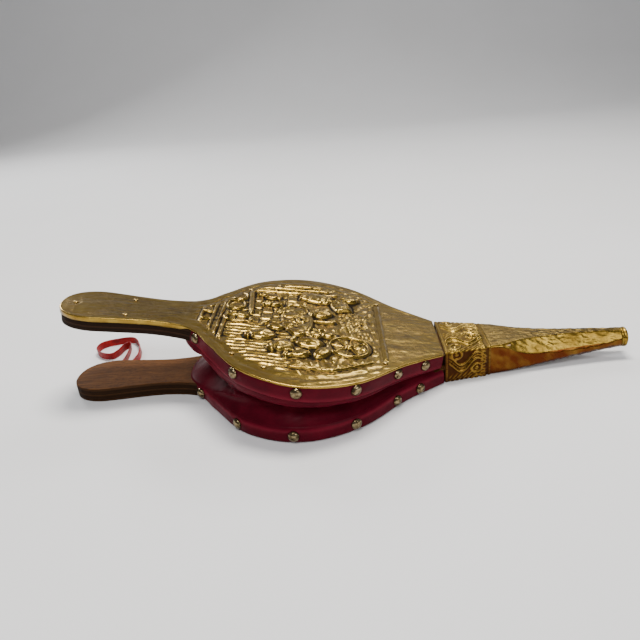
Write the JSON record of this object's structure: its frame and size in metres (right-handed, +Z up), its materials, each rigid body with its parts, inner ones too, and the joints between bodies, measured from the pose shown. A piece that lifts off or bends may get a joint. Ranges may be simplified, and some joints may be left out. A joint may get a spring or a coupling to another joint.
{
  "type": "hand bellows",
  "caption": "Hand bellows: two paddle-shaped boards hinged at a head block with a long brass nozzle, a folded leather skin between them, a brass-faced lid and a flap valve.",
  "frame": {"origin": "on the surface it rests on, under the middle of its length and width", "axes": "+X towards the nozzle tip, +Y to the left of someone holding the handles, +Z up, square to the bottom board"},
  "size_m": [0.5064, 0.2202, 0.0891],
  "materials": {
    "plate_brass": "embossed, dark patina in the recesses",
    "nozzle_brass": "hammered, satin",
    "walnut_ply": "dark stain, varnished, ply lines on the edges",
    "plain_wood": "bare",
    "skin_leather": "burgundy, semi-gloss",
    "inner_leather": "plain tanned",
    "nail_metal": "worn, domed",
    "steel": "bright",
    "ribbon": "woven, matte"
  },
  "bodies": {
    "base": {"bottom_board": "walnut_ply", "head_block": "plain_wood", "nozzle_sheath": "nozzle_brass", "nozzle_tube": "steel", "nozzle_collar": "nozzle_brass", "skin_band_lower_left": "skin_leather", "skin_band_lower_right": "skin_leather", "skin_fold": "skin_leather", "hinge_leather": "inner_leather", "valve_tail": "inner_leather", "valve_tail_tack_1": "steel", "valve_tail_tack_2": "steel", "valve_strap": "inner_leather", "valve_strap_tack_1": "steel", "valve_strap_tack_2": "steel", "hanging_loop": "ribbon", "loop_tack_1": "steel", "loop_tack_2": "steel", "nail_lower_left_1": "nail_metal", "nail_lower_left_2": "nail_metal", "nail_lower_left_3": "nail_metal", "nail_lower_left_4": "nail_metal", "nail_lower_left_5": "nail_metal", "nail_lower_left_6": "nail_metal", "nail_lower_right_1": "nail_metal", "nail_lower_right_2": "nail_metal", "nail_lower_right_3": "nail_metal", "nail_lower_right_4": "nail_metal", "nail_lower_right_5": "nail_metal", "nail_lower_right_6": "nail_metal"},
    "lid": {"top_board": "walnut_ply", "top_plate": "plate_brass", "skin_band_upper_left": "skin_leather", "skin_band_upper_right": "skin_leather", "plate_pin_1": "plate_brass", "plate_pin_2": "plate_brass", "plate_pin_3": "plate_brass", "plate_pin_4": "plate_brass", "plate_pin_5": "plate_brass", "plate_pin_6": "plate_brass", "plate_pin_7": "plate_brass", "plate_pin_8": "plate_brass", "plate_pin_9": "plate_brass", "nail_upper_left_1": "nail_metal", "nail_upper_left_2": "nail_metal", "nail_upper_left_3": "nail_metal", "nail_upper_left_4": "nail_metal", "nail_upper_left_5": "nail_metal", "nail_upper_left_6": "nail_metal", "nail_upper_right_1": "nail_metal", "nail_upper_right_2": "nail_metal", "nail_upper_right_3": "nail_metal", "nail_upper_right_4": "nail_metal", "nail_upper_right_5": "nail_metal", "nail_upper_right_6": "nail_metal"},
    "valve": {"valve_flap": "inner_leather", "valve_stiffener": "plain_wood"}
  },
  "joints": [
    {"name": "board_hinge", "type": "hinge", "parent": "base", "child": "lid", "pos_m": [0.084, 0, 0.0215], "axis": [0, 1, 0], "range_deg": [-7.5, 7], "deforming": ["skin_fold", "hinge_leather"]},
    {"name": "valve_flap", "type": "hinge", "parent": "base", "child": "valve", "pos_m": [-0.0227, 0, 0.0136], "axis": [0, 1, 0], "range_deg": [0, 5]}
  ]
}
